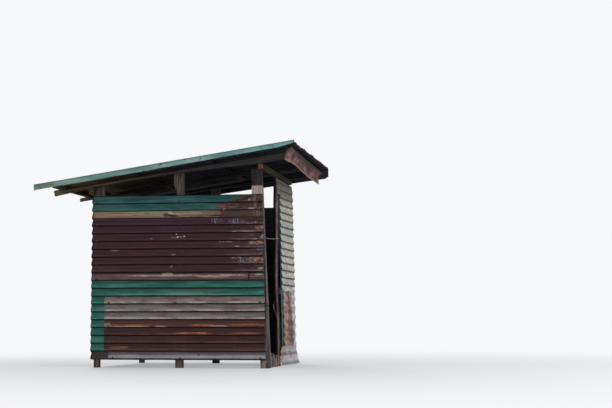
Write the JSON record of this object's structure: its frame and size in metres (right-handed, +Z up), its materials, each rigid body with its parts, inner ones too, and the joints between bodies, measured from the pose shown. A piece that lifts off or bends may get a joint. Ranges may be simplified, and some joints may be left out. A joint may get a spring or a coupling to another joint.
{
  "type": "corrugated metal outhouse",
  "caption": "Small open-doored outhouse: timber posts and rafters clad in rusty and painted corrugated sheet, with a lean-to roof.",
  "frame": {"origin": "middle of the footprint's box, on the ground", "axes": "+X towards the front with the doorway, +Y away from the long patched wall, +Z up"},
  "size_m": [2.554, 2.331, 2.155],
  "materials": {
    "post_timber": "weathered bare timber",
    "pale_timber": "pale sawn timber",
    "roof_timber": "dark aged timber",
    "tan_timber": "tan sawn timber with knots",
    "pole_timber": "dark round pole",
    "weathered_plank": "grey split plank",
    "wire": "galvanised wire",
    "green_sheet": "faded green paint",
    "green_trim": "chalky light green paint",
    "maroon_sheet": "faded maroon paint with rust",
    "old_sheet": "rusted galvanised sheet",
    "zinc_sheet": "dull galvanised sheet",
    "cream_sheet": "stained cream paint",
    "roof_sheet": "rusted galvanised sheet",
    "rusty_strip": "red-brown rust"
  },
  "bodies": {
    "root": {"post_near_front": "post_timber", "post_near_middle": "post_timber", "post_near_back": "post_timber", "post_far_front": "post_timber", "post_far_middle": "post_timber", "post_far_back": "post_timber", "post_block": "pale_timber", "stud_near_back": "post_timber", "header_front": "roof_timber", "header_back": "roof_timber", "rafter_near": "roof_timber", "rafter_middle": "roof_timber", "rafter_far": "roof_timber", "purlins": "roof_timber", "eave_purlin": "roof_timber", "near_rail_top": "tan_timber", "near_rails_low": "post_timber", "far_rails": "post_timber", "back_rails": "post_timber", "front_rails": "post_timber", "door_pole": "pole_timber", "door_sill": "weathered_plank", "door_wire": "wire", "near_top_sheet": "green_sheet", "near_maroon_sheet": "maroon_sheet", "near_green_sheet": "green_sheet", "near_old_sheet": "old_sheet", "near_foot_strip": "zinc_sheet", "far_sheet_low": "old_sheet", "far_sheet_high": "maroon_sheet", "back_sheet_low": "old_sheet", "back_sheet_high": "maroon_sheet", "front_low_sheet": "old_sheet", "front_foot_strip": "zinc_sheet", "front_cream_sheet": "cream_sheet", "front_top_sheet": "cream_sheet", "front_jamb_strip": "green_sheet", "roof_sheet_1": "roof_sheet", "roof_sheet_2": "roof_sheet", "roof_sheet_3": "roof_sheet", "roof_sheet_4": "roof_sheet", "verge_trim_near": "green_trim", "verge_end_piece": "green_trim", "verge_trim_far": "green_trim", "fascia_front": "rusty_strip"}
  },
  "joints": []
}
